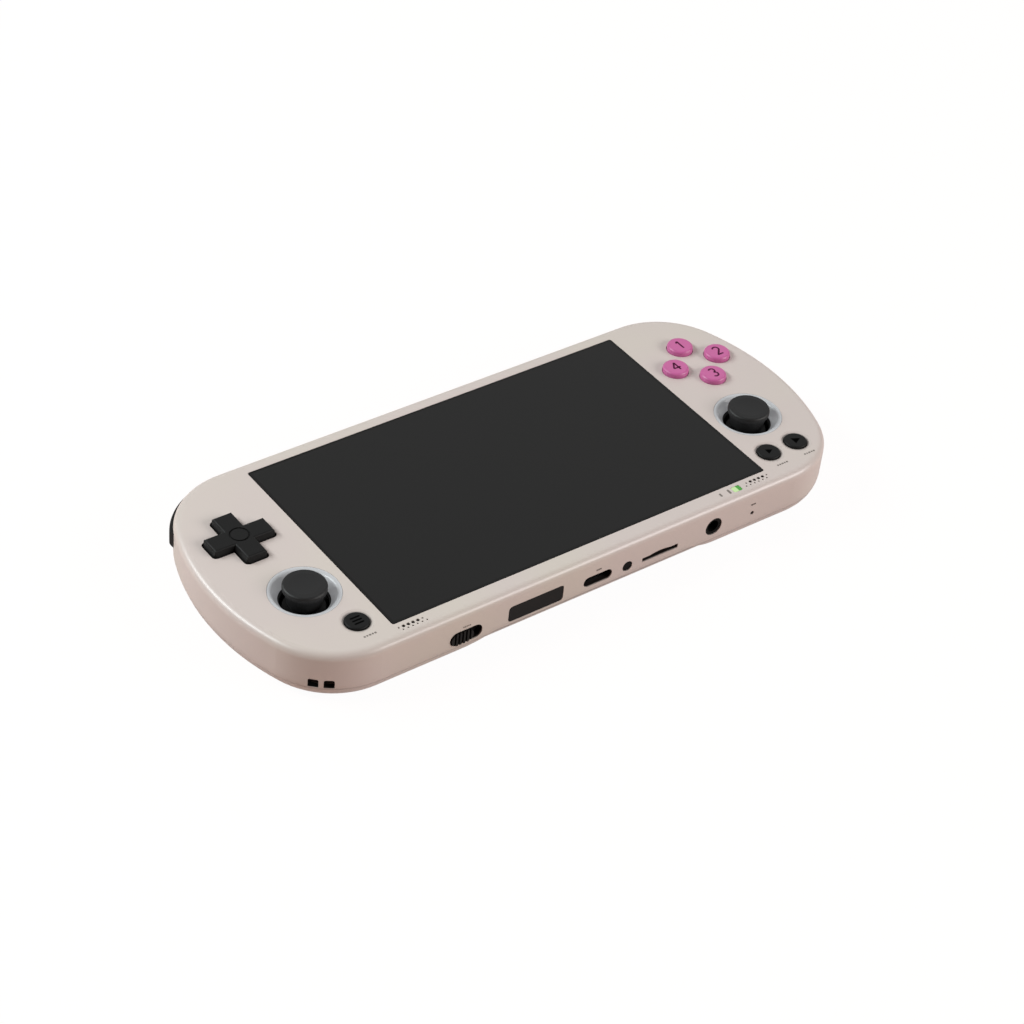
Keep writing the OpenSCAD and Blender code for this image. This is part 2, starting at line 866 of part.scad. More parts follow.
// Strip behind the power and volume buttons, with one low switch for each
module key_strip() {
    strip_t = 0.8;
    end = key_l / 2 + key_strip_end;
    color(board_green)
        place() {
            translate([power_x - end, key_strip_y, mid_floor_z])
                cube([volume_x + volume_pitch - power_x + 2 * end, strip_t, key_z + key_h - mid_floor_z]);
            for (x = [power_x, volume_x, volume_x + volume_pitch])
                translate([x - key_switch_l / 2, key_strip_y + strip_t, key_z - key_switch_h / 2])
                    cube([key_switch_l, key_tip_y - key_travel - key_switch_gap - key_strip_y - strip_t,
                        key_switch_h]);
        }
}

// Pale ring: a flush lip that rounds into a cone of slope 3 to 4, with a flange behind the front plate
module stick_ring() {
    foot_z = face_z - ring_depth - ring_foot;
    flange_z = plate_z - seat_gap;
    edge = [ring_throat_r + 0.75 * ring_depth, face_z];
    on_lip = [edge[0] + ring_round / 2, face_z];
    on_cone = [edge[0] - 0.3 * ring_round, face_z - 0.4 * ring_round];
    rotate_extrude() {
        polygon([
            [ring_throat_r, foot_z], [ring_r + ring_flange, foot_z], [ring_r + ring_flange, flange_z],
            [ring_r, flange_z], [ring_r, face_z], on_lip, on_cone, [ring_throat_r, face_z - ring_depth]
        ]);
        intersection() {
            polygon([on_lip, edge, on_cone]);
            translate([on_lip[0], face_z - ring_round])
                circle(ring_round);
        }
    }
}

module stick_ring_left() {
    color(pale)
        place()
            translate([-stick_x, stick_y, 0])
                stick_ring();
}

module stick_ring_right() {
    color(pale)
        place()
            translate([stick_x, stick_y, 0])
                stick_ring();
}

// Open-topped housing with two bearing holes for the gimbal's journals
module stick_housing() {
    inner = housing_side - 2 * housing_wall;
    difference() {
        tower(board_z, housing_top)
            square(housing_side, center = true);
        tower(board_z + housing_wall, housing_top - housing_wall)
            square(inner, center = true);
        translate([0, 0, housing_top - housing_wall - over])
            cylinder(r = gimbal_r + 0.8, h = housing_wall + 2 * over);
        translate([0, 0, pivot_h])
            rotate([0, 90, 0])
                cylinder(r = journal_r + pin_gap, h = housing_side + 2 * over, center = true);
    }
}

module stick_housing_left() {
    color([0.25, 0.25, 0.27])
        place()
            translate([-stick_x, stick_y, 0])
                stick_housing();
}

module stick_housing_right() {
    color([0.25, 0.25, 0.27])
        place()
            translate([stick_x, stick_y, 0])
                stick_housing();
}

// Gimbal ring: journals along X turn in the housing, bores along Y carry the stick
module stick_gimbal() {
    difference() {
        union() {
            translate([0, 0, pivot_h - gimbal_h / 2])
                cylinder(r = gimbal_r, h = gimbal_h);
            translate([0, 0, pivot_h])
                rotate([0, 90, 0])
                    cylinder(r = journal_r, h = housing_side - 0.2, center = true);
        }
        translate([0, 0, pivot_h - gimbal_h])
            cylinder(r = gimbal_bore_r, h = 2 * gimbal_h);
        translate([0, 0, pivot_h])
            rotate([90, 0, 0])
                cylinder(r = cross_pin_r + pin_gap, h = 2 * gimbal_r + over, center = true);
    }
}

module stick_gimbal_left() {
    color(steel)
        place()
            translate([-stick_x, stick_y, 0])
                stick_gimbal();
}

module stick_gimbal_right() {
    color(steel)
        place()
            translate([stick_x, stick_y, 0])
                stick_gimbal();
}

// Thumb stick: dished cap with rounded rim, tapered skirt, stem and cross pin
module stick() {
    cap_top = face_z + stick_proud;
    cap_low = cap_top - cap_t;
    dish_r = 40;
    dish_depth = 0.2;
    difference() {
        union() {
            rotate_extrude() {
                difference() {
                    translate([0, cap_low])
                        square([stick_r, cap_t]);
                    for (level = [cap_low + cap_edge_r, cap_top - cap_edge_r])
                        translate([stick_r - cap_edge_r, level])
                            difference() {
                                translate([0, level < cap_top - cap_t / 2 ? -cap_edge_r - over : 0])
                                    square(cap_edge_r + over);
                                circle(cap_edge_r);
                            }
                }
                polygon([
                    [0, pivot_h - 2.2], [stem_r, pivot_h - 1.4], [stem_r, pivot_h + 2],
                    [stick_r - 1.3, pivot_h + 2.65], [stick_r - 0.5, cap_low + 0.2],
                    [stick_r - 0.5, cap_low + cap_t / 2], [0, cap_low + cap_t / 2]
                ]);
            }
            translate([0, 0, pivot_h])
                rotate([90, 0, 0])
                    cylinder(r = cross_pin_r, h = 2 * gimbal_r - 0.6, center = true);
        }
        translate([0, 0, cap_top + dish_r - dish_depth])
            sphere(dish_r, $fn = 128);
    }
}

module stick_left() {
    color(ink)
        place()
            translate([-stick_x, stick_y, 0])
                stick();
}

module stick_right() {
    color(ink)
        place()
            translate([stick_x, stick_y, 0])
                stick();
}

// Plan of the cross with rounded tips, widened by a gap
module cross_outline(gap) {
    tip_r = 0.9;
    for (turn = [0, 90])
        rotate(turn)
            round_rect(pad_span + 2 * gap, pad_arm + 2 * gap, tip_r + gap);
}

// Section across an arm or along the cross: drafted sides with a rounded upper edge
module arm_section(w) {
    top_z = face_z + pad_proud;
    edge_r = 0.6;
    draft = 0.25;
    low_z = pad_flange_z;
    intersection() {
        translate([-w / 2, low_z])
            square([w, top_z - low_z]);
        union() {
            translate([-w / 2, low_z])
                square([w, face_z - low_z]);
            translate([-w / 2 + draft, face_z - over])
                square([w - 2 * draft, top_z - edge_r - face_z + over]);
            polygon([
                [-w / 2, face_z], [w / 2, face_z],
                [w / 2 - draft, top_z - edge_r], [-w / 2 + draft, top_z - edge_r]
            ]);
            translate([-w / 2 + draft + edge_r, face_z])
                square([w - 2 * draft - 2 * edge_r, top_z - face_z]);
            for (side = [-1, 1])
                translate([side * (w / 2 - draft - edge_r), top_z - edge_r])
                    circle(edge_r);
        }
    }
}

module pad_bar() {
    intersection() {
        translate([-pad_span / 2 - over, 0, 0])
            rotate([90, 0, 90])
                linear_extrude(pad_span + 2 * over)
                    arm_section(pad_arm);
        translate([0, pad_arm / 2 + over, 0])
            rotate([90, 0, 0])
                linear_extrude(pad_arm + 2 * over)
                    arm_section(pad_span);
    }
}

module direction_pad() {
    dimple_r = 2.75;
    color(ink)
        place()
            translate([pad_x, pad_y, 0])
                difference() {
                    union() {
                        intersection() {
                            union() {
                                pad_bar();
                                rotate([0, 0, 90])
                                    pad_bar();
                            }
                            tower(pad_flange_z, face_z + pad_proud + over)
                                cross_outline(0);
                        }
                        translate([0, 0, pad_flange_z])
                            cylinder(r = pad_flange_r, h = flange_t);
                        at_pad_pegs()
                            translate([0, 0, dome_top + dome_gap])
                                cylinder(r = pad_peg_r, h = pad_flange_z - dome_top);
                    }
                    translate([0, 0, ball_z])
                        sphere(ball_r + ball_gap);
                    translate([0, 0, face_z + pad_proud - 0.3])
                        difference() {
                            cylinder(r = dimple_r, h = over);
                            translate([0, 0, -over])
                                cylinder(r = dimple_r - 0.5, h = 3 * over);
                        }
                }
}

module pad_pivot() {
    color(pale)
        place()
            translate([pad_x, pad_y, ball_z])
                sphere(ball_r);
}

// One hollow rubber dome with the ring of sheet that it stands on
module dome(foot_r, head_r) {
    sheet_top = board_z + sheet_t;
    rotate_extrude()
        polygon([
            [foot_r - dome_skin, board_z], [foot_r, board_z], [foot_r, sheet_top], [head_r, dome_top],
            [0, dome_top], [0, dome_top - dome_skin], [head_r - dome_skin, dome_top - dome_skin],
            [foot_r - dome_skin, sheet_top]
        ]);
}

// Opening in the sheet below a dome, hidden by the dome's ring
module dome_well(foot_r) {
    circle(foot_r - dome_skin / 2);
}

module at_pad_pegs() {
    for (turn = [0 : 90 : 270])
        rotate([0, 0, turn])
            translate([pad_peg_x, 0, 0])
                children();
}

module pad_membrane() {
    foot_r = 2.9;
    color(rubber_grey)
        place()
            translate([pad_x, pad_y, 0]) {
                tower(board_z, board_z + sheet_t)
                    difference() {
                        circle(pad_peg_x + foot_r + sheet_margin);
                        circle(post_r + 0.3);
                        at_pad_pegs()
                            dome_well(foot_r);
                    }
                at_pad_pegs()
                    dome(foot_r, pad_peg_r + 0.2);
            }
}

// A round button: rounded cap, flange under the front plate and a foot on its dome
module round_button(r, proud, edge_r) {
    top = face_z + proud;
    flange_top = plate_z - 0.05;
    rotate_extrude() {
        difference() {
            translate([0, flange_top - flange_t])
                square([r, top - flange_top + flange_t]);
            translate([r - edge_r, top - edge_r])
                difference() {
                    square(edge_r + over);
                    circle(edge_r);
                }
        }
        translate([0, flange_top - flange_t])
            square([r + flange_lip, flange_t]);
        translate([0, dome_top + dome_gap])
            square([r - 0.6, flange_top - dome_top - dome_gap]);
    }
}

module face_button(i) {
    color(pink)
        place()
            at_face_button(i)
                round_button(face_r, face_proud, 0.8);
}

module face_button_top() {
    face_button(0);
}

module face_button_right() {
    face_button(1);
}

module face_button_bottom() {
    face_button(2);
}

module face_button_left() {
    face_button(3);
}

module face_membrane() {
    foot_r = face_r + 0.7;
    color(rubber_grey)
        place() {
            tower(board_z, board_z + sheet_t)
                difference() {
                    union() {
                        translate([face_x, face_y])
                            polygon([[face_pitch, 0], [0, face_pitch], [-face_pitch, 0], [0, -face_pitch]]);
                        for (i = [0 : 3])
                            at_face_button(i)
                                circle(foot_r + sheet_margin);
                    }
                    for (i = [0 : 3])
                        at_face_button(i)
                            dome_well(foot_r);
                }
            for (i = [0 : 3])
                at_face_button(i)
                    dome(foot_r, face_r - 0.6);
        }
}

module small_button(x) {
    color(ink)
        place()
            translate([x, small_y, 0])
                round_button(small_r, small_proud, 0.5);
}

module menu_button() {
    small_button(menu_x);
}

module select_button() {
    small_button(select_x);
}

module start_button() {
    small_button(start_x);
}

module small_dome(x) {
    foot_r = small_r + 0.6;
    translate([x, small_y, 0]) {
        tower(board_z, board_z + sheet_t)
            difference() {
                circle(foot_r + sheet_margin);
                dome_well(foot_r);
            }
        dome(foot_r, small_r - 0.6);
    }
}

module menu_membrane() {
    color(rubber_grey)
        place()
            small_dome(menu_x);
}

module system_membrane() {
    bridge_w = 3;
    color(rubber_grey)
        place() {
            small_dome(select_x);
            small_dome(start_x);
            translate([select_x + small_r + 0.5, small_y - bridge_w / 2, board_z])
                cube([start_x - select_x - 2 * small_r - 1, bridge_w, sheet_t]);
        }
}

// A shoulder button: curved bar, with a knuckle that turns on the hinge pin
module shoulder_bar(z0, z1, reach) {
    edge_r = 0.8;
    difference() {
        union() {
            shoulder_band(shoulder_proud, shoulder_in, z0, z1, edge_r, reach, 0);
            translate([pin_x, pin_y, z0])
                cylinder(r = knuckle_r, h = z1 - z0);
            translate([pin_x - knuckle_r / 2, pin_y, z0])
                cube([2 * knuckle_r, pin_inset - wall, z1 - z0]);
        }
        translate([pin_x, pin_y, z0 - over])
            cylinder(r = pin_r + pin_gap, h = z1 - z0 + 2 * over);
    }
}

module shoulder_right() {
    color(ink)
        place()
            shoulder_bar(shoulder_z, shoulder_top, shoulder_reach);
}

module shoulder_left() {
    color(ink)
        place()
            mirror([1, 0, 0])
                shoulder_bar(shoulder_z, shoulder_top, shoulder_reach);
}

module trigger_right() {
    color(ink)
        place()
            shoulder_bar(trigger_z, trigger_top, trigger_reach);
}

module trigger_left() {
    color(ink)
        place()
            mirror([1, 0, 0])
                shoulder_bar(trigger_z, trigger_top, trigger_reach);
}

module hinge_pins() {
    low = seam_z - 2;
    color(steel)
        place()
            both_ends()
                translate([pin_x, pin_y, low])
                    cylinder(r = pin_r, h = plate_z + 0.3 - low);
}

// Small side-push switches on both faces of each control board
module shoulder_switches() {
    side = 3.6;
    depth = 3.2;
    turn = 50;
    tip_r = corner_r - shoulder_in - 1.3;
    body_r = tip_r - 0.9 - depth;
    color([0.2, 0.2, 0.22])
        place()
            both_ends()
                translate([corner_x, corner_y, 0])
                    rotate([0, 0, turn]) {
                        translate([body_r, -side / 2, board_z])
                            cube([depth, side, 4]);
                        translate([body_r + depth, 0, board_z + 3.1])
                            rotate([0, 90, 0])
                                cylinder(r = 0.7, h = 0.9);
                        translate([body_r, -side / 2, board_low - 2.8])
                            cube([depth, side, 2.8]);
                        translate([body_r + depth, 0, board_low - 0.7])
                            rotate([0, 90, 0])
                                cylinder(r = 0.6, h = 0.9);
                    }
}

// Power or volume button: a pill through the shoulder wall with a flange behind it
module edge_key(x) {
    color(sand)
        place() {
            key_wall(x, key_z, -key_proud, wall + seat_gap)
                pill(key_l, key_h);
            key_wall(x, key_z, wall + seat_gap, wall + seat_gap + key_flange_t)
                pill(key_l + 2, key_h + 1.6);
            key_wall(x, key_z, wall + seat_gap + key_flange_t, half_w - key_tip_y)
                circle(0.8);
        }
}

module power_button() {
    edge_key(power_x);
}

module volume_down() {
    edge_key(volume_x);
}

module volume_up() {
    edge_key(volume_x + volume_pitch);
}

// Knob of the slide switch, parked at the left end of its slot, with cut grooves
module switch_knob() {
    end_gap = 0.3;
    knob_l = switch_slot_l - switch_travel - 2 * end_gap;
    knob_h = switch_slot_h - 0.4;
    knob_x = switch_x - switch_travel / 2;
    grooves = 5;
    groove_w = 0.55;
    pitch = knob_l / (grooves + 1);
    color(ink)
        place()
            difference() {
                union() {
                    port_wall(knob_x, switch_z, -switch_proud, wall + seat_gap)
                        pill(knob_l, knob_h);
                    port_wall(knob_x, switch_z, wall + seat_gap, wall + seat_gap + 0.45)
                        square([knob_l + 2 * switch_travel + 1, switch_slot_h + 0.6], center = true);
                }
                for (i = [1 : grooves])
                    port_wall(knob_x - knob_l / 2 + i * pitch, switch_z, -switch_proud - over, 0.3)
                        square([groove_w, knob_h + over], center = true);
            }
}

module switch_body() {
    body = [12, 4, 2.4];
    mouth = [6, 1.5, 0.8];
    color(steel)
        place()
            difference() {
                translate([switch_x - body[0] / 2, -half_w + wall + 0.75, board_z])
                    cube(body);
                translate([switch_x - mouth[0] / 2, -half_w + wall, board_z + mouth[2]])
                    cube(mouth);
            }
}

// Black cover plate: flush in the wall, with a flange behind it
module port_cover() {
    color(ink)
        place() {
            port_wall(cover_x, cover_z, 0.08, wall + seat_gap)
                round_rect(cover_l, cover_h, 1);
            port_wall(cover_x, cover_z, wall + seat_gap, wall + 0.5)
                round_rect(cover_l + 1.6, cover_h + 1.2, 1);
        }
}

module sensor_window() {
    color([0.05, 0.05, 0.06])
        place() {
            port_wall(window_x, window_z, 0.2, wall + 0.6)
                circle(window_r);
            port_wall(window_x, window_z, wall + seat_gap, wall + 0.6)
                circle(window_r + 0.5);
        }
}

// USB-C receptacle: a steel shell with a contact tongue
module usb_socket() {
    depth = 7.3;
    skin = 0.3;
    shell_l = 8.94;
    shell_h = 3.16;
    tongue_l = 6.7;
    tongue_t = 0.7;
    front = wall + 0.15;
    z = board_z + shell_h / 2;
    color(steel)
        place() {
            difference() {
                port_wall(usb_x, z, front, front + depth)
                    pill(shell_l, shell_h);
                port_wall(usb_x, z, front - over, front + depth - 0.8)
                    pill(shell_l - 2 * skin, shell_h - 2 * skin);
            }
            port_wall(usb_x, z, front + 1, front + depth - 0.4)
                square([tongue_l, tongue_t], center = true);
        }
}

// Headphone jack: a block on the board whose round nose sits in the wall
module audio_jack() {
    front = wall + 0.2;
    depth = 12.5;
    bore_end = 11.5;
    body = 6.5;
    color(ink)
        place()
            difference() {
                union() {
                    translate([jack_x - body / 2, -half_w + front, board_z])
                        cube([body, depth, jack_body_h]);
                    port_wall(jack_x, jack_z, 0.3, front + weld)
                        circle(jack_hole_r - seat_gap);
                }
                port_wall(jack_x, jack_z, -over, bore_end)
                    circle(jack_r);
            }
}

// Card socket: a folded steel cover with an open mouth
module card_socket() {
    depth = 14.5;
    front = wall + 0.3;
    h = 1.9;
    color(steel)
        place()
            difference() {
                translate([card_x - card_l / 2 - 1.1, -half_w + front, board_z])
                    cube([card_l + 2.2, depth, h]);
                translate([card_x - card_l / 2 + 0.3, -half_w + front - over, card_z - 0.4])
                    cube([card_l - 0.6, depth, 0.8]);
            }
}

// Clear light pipe from the board's lamp to the window below the glass
module light_pipe() {
    y = speaker_row_y - speaker_row_gap / 2;
    flange_z = plate_z - seat_gap;
    color([0.45, 0.75, 0.40])
        place()
            translate([light_x, y, 0]) {
                tower(flange_z, face_z - 0.05)
                    round_rect(light_l, light_w, light_r);
                tower(flange_z - 0.6, flange_z)
                    square([light_l + 0.8, light_w + 0.6], center = true);
                tower(board_z + 0.1, flange_z - 0.6)
                    circle(0.8);
            }
}

// Speaker box behind its row of holes
module speaker(side) {
    top = plate_z - seat_gap;
    inner_y = -half_w + wall + 0.3;
    color([0.18, 0.18, 0.19])
        place()
            translate([side * (speaker_x + 0.4), inner_y + speaker_box[1] / 2, 0])
                difference() {
                    tower(top - speaker_box[2], top)
                        round_rect(speaker_box[0], speaker_box[1], 1.2);
                    tower(top - 0.5, top + over)
                        round_rect(speaker_box[0] - 1.2, speaker_box[1] - 1.2, 0.8);
                }
}

module speaker_left() {
    speaker(-1);
}

module speaker_right() {
    speaker(1);
}

module vibration_motor() {
    motor_r = 4;
    motor_t = 2.7;
    color(steel)
        place()
            translate([motor_spot[0], motor_spot[1], floor_z])
                cylinder(r = motor_r, h = motor_t);
}

// Six case screws, driven from the back
module screws() {
    color(steel)
        place()
            at_screws() {
                translate([0, 0, screw_seat - screw_head_t])
                    cylinder(r = screw_head_r, h = screw_head_t);
                translate([0, 0, screw_seat])
                    cylinder(r = screw_r, h = screw_top - screw_seat);
            }
}

front_shell();
rear_shell();
screen_glass();
display_panel();
shield_plate();
main_board();
battery();
control_board_left();
control_board_right();
key_strip();
stick_ring_left();
stick_ring_right();
stick_housing_left();
stick_housing_right();
stick_gimbal_left();
stick_gimbal_right();
stick_left();
stick_right();
direction_pad();
pad_pivot();
pad_membrane();
face_button_top();
face_button_right();
face_button_bottom();
face_button_left();
face_membrane();
menu_button();
select_button();
start_button();
menu_membrane();
system_membrane();
shoulder_left();
shoulder_right();
trigger_left();
trigger_right();
hinge_pins();
shoulder_switches();
power_button();
volume_down();
volume_up();
switch_knob();
switch_body();
port_cover();
sensor_window();
usb_socket();
audio_jack();
card_socket();
light_pipe();
speaker_left();
speaker_right();
vibration_motor();
screws();
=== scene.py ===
import math

import bmesh
import bpy
import numpy as np
from mathutils import Euler, Matrix, Vector


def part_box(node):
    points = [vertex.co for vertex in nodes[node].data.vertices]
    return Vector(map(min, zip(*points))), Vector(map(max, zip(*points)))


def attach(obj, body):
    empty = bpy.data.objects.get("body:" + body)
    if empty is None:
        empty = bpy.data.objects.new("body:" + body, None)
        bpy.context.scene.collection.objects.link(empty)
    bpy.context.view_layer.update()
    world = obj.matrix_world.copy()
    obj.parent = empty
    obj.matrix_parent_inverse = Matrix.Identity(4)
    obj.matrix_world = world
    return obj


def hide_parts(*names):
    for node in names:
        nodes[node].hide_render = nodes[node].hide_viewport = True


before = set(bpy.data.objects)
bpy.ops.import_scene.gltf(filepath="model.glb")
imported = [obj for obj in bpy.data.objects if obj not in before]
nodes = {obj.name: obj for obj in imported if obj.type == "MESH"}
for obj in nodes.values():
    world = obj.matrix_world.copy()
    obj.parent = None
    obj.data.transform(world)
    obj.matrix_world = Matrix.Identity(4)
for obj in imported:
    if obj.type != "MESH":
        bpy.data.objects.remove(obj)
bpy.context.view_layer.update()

MM = 0.001

# Colours, linear
SAND = (0.622, 0.562, 0.505)
ROSE_SAND = (0.618, 0.542, 0.510)
# Near black used as painted shade inside the case's openings and gaps
PAINTED_SHADE = (0.012, 0.009, 0.008)
BLACK = (0.013, 0.013, 0.013)
STICK_BLACK = (0.012, 0.012, 0.0125)
SOCKET_BLACK = (0.016, 0.016, 0.016)
# Darker than the black plastic: the parts' own black plus painted shade of the holes they sit in
CAVITY_SHADE_BLACK = (0.004, 0.004, 0.004)
DISPLAY_OFF = (0.0105, 0.0105, 0.0105)
GLASS_RIM = (0.005, 0.005, 0.005)
PINK = (0.560, 0.125, 0.330)
PALE = (0.40, 0.407, 0.42)
LIT_PALE = (0.50, 0.70, 0.34)
LIT_GREEN = (0.060, 0.30, 0.040)
RUBBER_GREY = (0.27, 0.27, 0.28)
BOARD_GREEN = (0.02, 0.11, 0.06)
POUCH_GREY = (0.42, 0.43, 0.44)
STEEL_GREY = (0.56, 0.56, 0.57)
# Near black metal: painted shade on the sockets and switch seen through the openings
SHADED_METAL = (0.045, 0.045, 0.047)
GOLD_YELLOW = (0.80, 0.55, 0.22)
INK_ON_SAND = (0.20, 0.175, 0.155)
INK_ON_PINK = (0.085, 0.008, 0.042)
INK_ON_BLACK = (0.002, 0.002, 0.002)
PAPER = (0.56, 0.385, 0.33)
ROOM_TONE = (0.235, 0.234, 0.232)
DIM_TONE = (0.085, 0.04, 0.03)
BRIGHT_TONE = (0.63, 0.625, 0.62)

# Plan of the case: corner arcs and bowed end arcs, all tangent; run and rise of the line that divides them
CORNER_R = 23.0 * MM
END_R = 69.875 * MM
ARC_RUN = 0.936
ARC_RISE = 0.352
FRONT_EDGE_R = 2.2 * MM
SEAM_Z = 5.2 * MM
# Depths below the outer faces over which the painted shade inside the case fades in
INSIDE_FROM = 0.15 * MM
INSIDE_FULL = 0.45 * MM

# Cover glass and status light
RIM_W = 0.8 * MM
RIM_SOFT = 0.3 * MM
PALE_END = 0.1 * MM
GREEN_START = 0.3 * MM
LIGHT_GLOW = 0.15
# Glow of the stick rings: painted light that lifts their shaded inner side
PAINTED_RING_GLOW = 0.34

# Printed marks: thickness, strokes and steps over round ends and bows
PRINT_LIFT = 0.02 * MM
PRINT_DEPTH = 0.04 * MM
END_STEPS = 7
BOW_STEPS = 17
MERGE_DISTANCE = 1e-7

# Figures on the face buttons, bars and arrows (length, width) on the small ones
FIGURE_H = 3.5 * MM
FIGURE_W = 0.52 * MM
BAR_L = 2.9 * MM
BAR_W = 0.5 * MM
BAR_STEP = 1.1 * MM
SELECT_ARROW = (1.9 * MM, 2.0 * MM)
START_ARROW = (2.4 * MM, 2.4 * MM)

# Small printed words: shares of their dashes and gaps, sizes and places
WORD_DASHES = (0.9, 0.7, 1.0, 0.7, 0.9)
WORD_GAP = 0.3
LABEL_L = 3.8 * MM
LABEL_W = 0.6 * MM
LABEL_DROP = 5.9 * MM
PORT_LABEL_W = 0.5 * MM
PORT_LABEL_L = 1.6 * MM
PORT_LABEL_Z = 11.9 * MM
SWITCH_LABEL_L = 2.4 * MM
SWITCH_LABEL_Z = 11.6 * MM
MICROPHONE_X = 53.0 * MM

# Marks beside the status light: length, width and distance from it
LIGHT_MARKS = ((1.8 * MM, 0.7 * MM, 2.6 * MM), (1.4 * MM, 0.6 * MM, 5.5 * MM))

# Tongue of the USB-C socket and its contacts
TONGUE_SETBACK = 2.0 * MM
TONGUE_T = 0.7 * MM
CONTACTS = 12
CONTACT_L = 1.5 * MM
CONTACT_W = 0.26 * MM
CONTACT_PITCH = 0.5 * MM

# Case screws; the slopes are the shares of the recess over which its walls fall
SCREW_PAIRS = ((63.5, 29.7), (64.0, -34.5), (86.3, 0.7))
SCREW_SPOTS = [(side * x * MM, y * MM) for side in (-1, 1) for x, y in SCREW_PAIRS]
HEAD_R = 1.8 * MM
HEAD_T = 1.2 * MM
HEAD_EDGE_R = 0.35 * MM
SHANK_R = 0.8 * MM
RECESS_R = 1.2 * MM
RECESS_W = 0.32 * MM
RECESS_DEPTH = 0.6 * MM
ARM_SLOPE = 0.35
TIP_SLOPE = 0.4
HEAD_RINGS = 15
RIM_STEPS = 6
SCREW_STEPS = 96

# Camera, floor and surroundings
CAMERA_AT = (-349.31 * MM, -423.99 * MM, 456.34 * MM)
CAMERA_TURN = (50.317, -4.615, -35.840)
CAMERA_LENS = 92.51
CAMERA_SENSOR = 36.0
CAMERA_NEAR = 0.02
CAMERA_FAR = 20.0
FLOOR_REACH = 6.0
FLOOR_GLOW = 1.07
CAMERA_SHARE = 0.9
REFLECTED_SHARE = 0.35
DIM_SIDE = (-0.62, -0.74, 0.25)
DIM_RANGE = (0.3, 0.95)
BRIGHT_SIDE = (0.49, 0.59, 0.64)
BRIGHT_RANGE = (0.6, 1.0)

EAST = (1, 0, 0)
WEST = (-1, 0, 0)
NORTH = (0, 1, 0)
UP = (0, 0, 1)


def centre_of(name):
    """Middle of a solid's box and the height of its top."""
    low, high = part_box(name)
    return (low.x + high.x) / 2, (low.y + high.y) / 2, high.z


# Shader nodes

def math_node(tree, operation, *values):
    """A Math node whose inputs are numbers or sockets; returns its output."""
    node = tree.nodes.new("ShaderNodeMath")
    node.operation = operation
    for socket, value in zip(node.inputs, values):
        if isinstance(value, (int, float)):
            socket.default_value = value
        else:
            tree.links.new(value, socket)
    return node.outputs[0]


def length_node(tree, u, v):
    """Root of u squared plus v squared."""
    squares = math_node(tree, "MULTIPLY_ADD", v, v, math_node(tree, "MULTIPLY", u, u))
    return math_node(tree, "SQRT", squares)


def noise_node(tree, place, scale, detail):
    """Noise from 0 to 1 over the piece; scale is a number per metre or a socket."""
    node = tree.nodes.new("ShaderNodeTexNoise")
    node.inputs["Detail"].default_value = detail
    tree.links.new(place, node.inputs["Vector"])
    if isinstance(scale, (int, float)):
        node.inputs["Scale"].default_value = scale
    else:
        tree.links.new(scale, node.inputs["Scale"])
    return node.outputs["Fac"]


def ramp_node(tree, value, start, end):
    """0 up to start, 1 from end on and straight between them; returns its output."""
    node = tree.nodes.new("ShaderNodeMapRange")
    node.inputs["From Min"].default_value = start
    node.inputs["From Max"].default_value = end
    tree.links.new(value, node.inputs["Value"])
    return node.outputs["Result"]


def mix_node(tree, factor, first, second):
    """The first colour at factor 0 and the second at 1, each a colour or a socket; returns its output."""
    node = tree.nodes.new("ShaderNodeMix")
    node.data_type = "RGBA"
    tree.links.new(factor, node.inputs["Factor"])
    for label, colour in (("A", first), ("B", second)):
        if isinstance(colour, tuple):
            node.inputs[label].default_value = (*colour, 1.0)
        else:
            tree.links.new(colour, node.inputs[label])
    return node.outputs["Result"]


def place_nodes(tree):
    """Where a point lies on its piece: the place as one socket, and its three parts."""
    place = tree.nodes.new("ShaderNodeTexCoord").outputs["Object"]
    split = tree.nodes.new("ShaderNodeSeparateXYZ")
    tree.links.new(place, split.inputs[0])
    return place, split.outputs


# Shader groups

def new_group(name, inputs, outputs):
    """An empty shader group with named sockets; returns the group and its two ends."""
    group = bpy.data.node_groups.new(name, "ShaderNodeTree")
    for label, kind, value in inputs:
        socket = group.interface.new_socket(label, in_out="INPUT", socket_type=kind)
        socket.default_value = value
    for label, kind in outputs:
        group.interface.new_socket(label, in_out="OUTPUT", socket_type=kind)
    return group, group.nodes.new("NodeGroupInput"), group.nodes.new("NodeGroupOutput")


